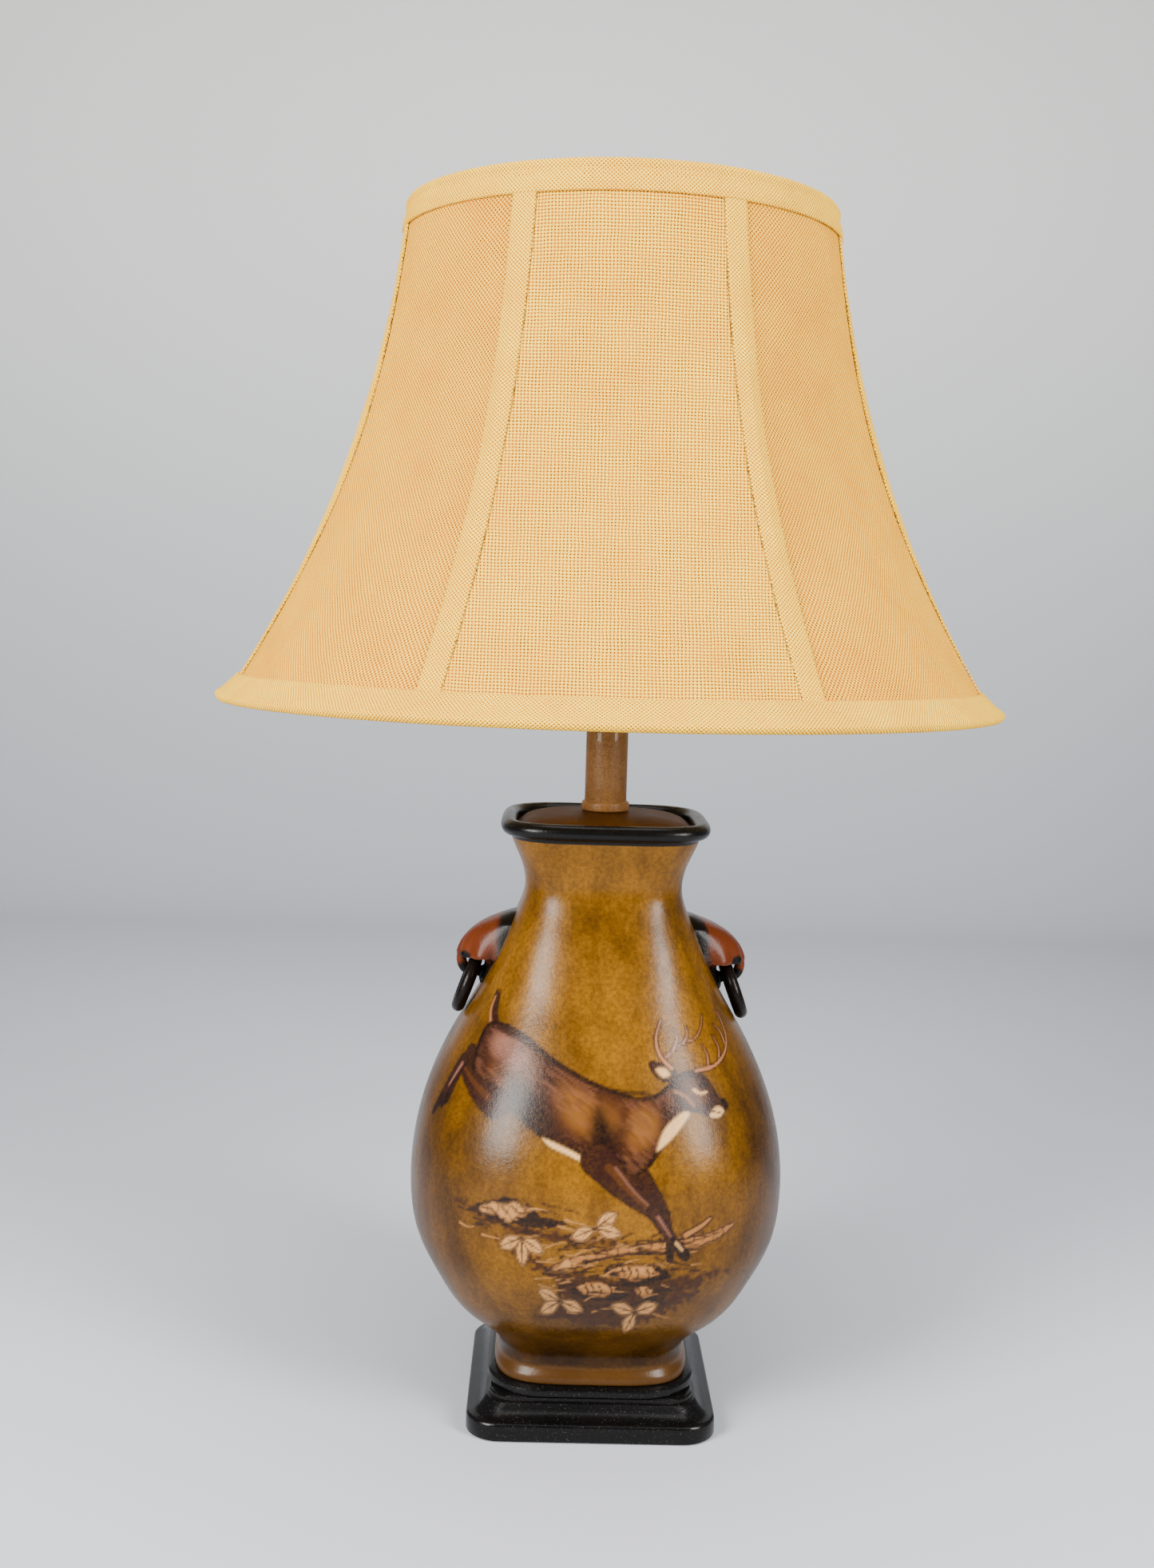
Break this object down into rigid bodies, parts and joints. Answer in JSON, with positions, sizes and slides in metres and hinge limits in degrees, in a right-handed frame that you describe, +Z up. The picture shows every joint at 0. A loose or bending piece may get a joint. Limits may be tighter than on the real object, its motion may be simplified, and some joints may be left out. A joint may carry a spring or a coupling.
{
  "type": "table lamp",
  "caption": "Table lamp: rounded-square ceramic vase with ring handles on a black plinth, under a burlap bell shade on a harp.",
  "frame": {"origin": "bottom centre, on the underside of the felt pad", "axes": "+Z up, -Y the front with the painted scene, +X to the right of it"},
  "size_m": [0.4571, 0.4572, 0.7172],
  "materials": {
    "black_lacquer": "black lacquer, polished",
    "felt": "green wool felt",
    "black_plastic": "moulded phenolic, satin",
    "zinc_steel": "zinc plated",
    "vase_glaze": "mottled golden brown under a clear gloss glaze, black lip, painted woodland scene",
    "handle_glaze": "rust red over black, gloss glaze",
    "brown_enamel": "mottled brown enamel, semi-gloss",
    "aged_brass": "aged brass, lacquered",
    "fibre_board": "grey fibre insulating tube",
    "aluminium_shell": "rolled thread, bright",
    "black_enamel": "black gloss enamel",
    "frosted_glass": "inside-frosted",
    "clear_glass": "clear",
    "filament_wire": "tungsten coil on support wires",
    "white_wire": "white painted steel wire",
    "liner_cloth": "off-white plain-weave lining",
    "burlap_trim": "burlap cut on the bias, folded",
    "burlap": "coarse golden burlap, about 14 threads to the inch"
  },
  "bodies": {
    "base": {"plinth": "black_lacquer", "felt_pad": "felt", "cord_bushing": "black_plastic", "base_washer": "zinc_steel", "base_lock_washer": "zinc_steel", "base_nut": "zinc_steel", "threaded_rod": "zinc_steel", "vase_body": "vase_glaze", "vase_cap": "brown_enamel", "handle_left": "handle_glaze", "handle_right": "handle_glaze", "neck_collar": "brown_enamel", "neck_tube": "brown_enamel", "neck_top_washer": "aged_brass", "harp_saddle": "aged_brass", "saddle_nut": "aged_brass", "socket_cap": "aged_brass", "socket_set_screw": "zinc_steel", "socket_shell": "aged_brass", "socket_liner": "fibre_board", "socket_body": "black_plastic", "terminal_screws": "aged_brass", "socket_screw_shell": "aluminium_shell", "centre_contact": "aged_brass"},
    "switch": {"switch_shaft": "aged_brass", "switch_knob": "black_plastic"},
    "ring_left": {"ring_left": "black_enamel"},
    "ring_right": {"ring_right": "black_enamel"},
    "bulb": {"bulb_base": "aluminium_shell", "bulb_contact": "aluminium_shell", "bulb_glass": "frosted_glass", "bulb_stem": "clear_glass", "bulb_filament": "filament_wire"},
    "harp": {"harp_wire": "aged_brass", "harp_top_plate": "aged_brass", "harp_stud": "aged_brass"},
    "sleeve_left": {"harp_sleeve_left": "aged_brass"},
    "sleeve_right": {"harp_sleeve_right": "aged_brass"},
    "shade": {"shade_spider": "white_wire", "shade_top_ring": "white_wire", "shade_bottom_ring": "white_wire", "shade_ribs": "white_wire", "shade_liner": "liner_cloth", "shade_panel_1": "burlap", "shade_panel_2": "burlap", "shade_panel_3": "burlap", "shade_panel_4": "burlap", "shade_panel_5": "burlap", "shade_panel_6": "burlap", "shade_panel_7": "burlap", "seam_tapes": "burlap_trim", "top_trim": "burlap_trim", "bottom_trim": "burlap_trim"},
    "finial": {"finial": "aged_brass"}
  },
  "joints": [
    {"name": "switch_turn", "type": "hinge", "parent": "base", "child": "switch", "pos_m": [0, -0.02, 0.4729], "axis": [0, -1, 0], "continuous": true},
    {"name": "ring_left_swing", "type": "hinge", "parent": "base", "child": "ring_left", "pos_m": [-0.075, 0, 0.268], "axis": [0, 1, 0], "range_deg": [0, 50]},
    {"name": "ring_right_swing", "type": "hinge", "parent": "base", "child": "ring_right", "pos_m": [0.075, 0, 0.268], "axis": [0, -1, 0], "range_deg": [0, 50]},
    {"name": "bulb_unscrew", "type": "hinge", "parent": "base", "child": "bulb", "pos_m": [0, 0, 0.495], "axis": [0, 0, 1], "range_deg": [0, 1440]},
    {"name": "harp_lift", "type": "slide", "parent": "base", "child": "harp", "axis": [0, 0, 1], "range_m": [0, 0.03]},
    {"name": "sleeve_left_slide", "type": "slide", "parent": "harp", "child": "sleeve_left", "axis": [0, 0, 1], "range_m": [0, 0.014]},
    {"name": "sleeve_right_slide", "type": "slide", "parent": "harp", "child": "sleeve_right", "axis": [0, 0, 1], "range_m": [0, 0.014]},
    {"name": "shade_turn", "type": "hinge", "parent": "harp", "child": "shade", "pos_m": [0, 0, 0.6859], "axis": [0, 0, 1], "continuous": true},
    {"name": "finial_unscrew", "type": "hinge", "parent": "harp", "child": "finial", "pos_m": [0, 0, 0.69], "axis": [0, 0, 1], "range_deg": [0, 3600]}
  ]
}
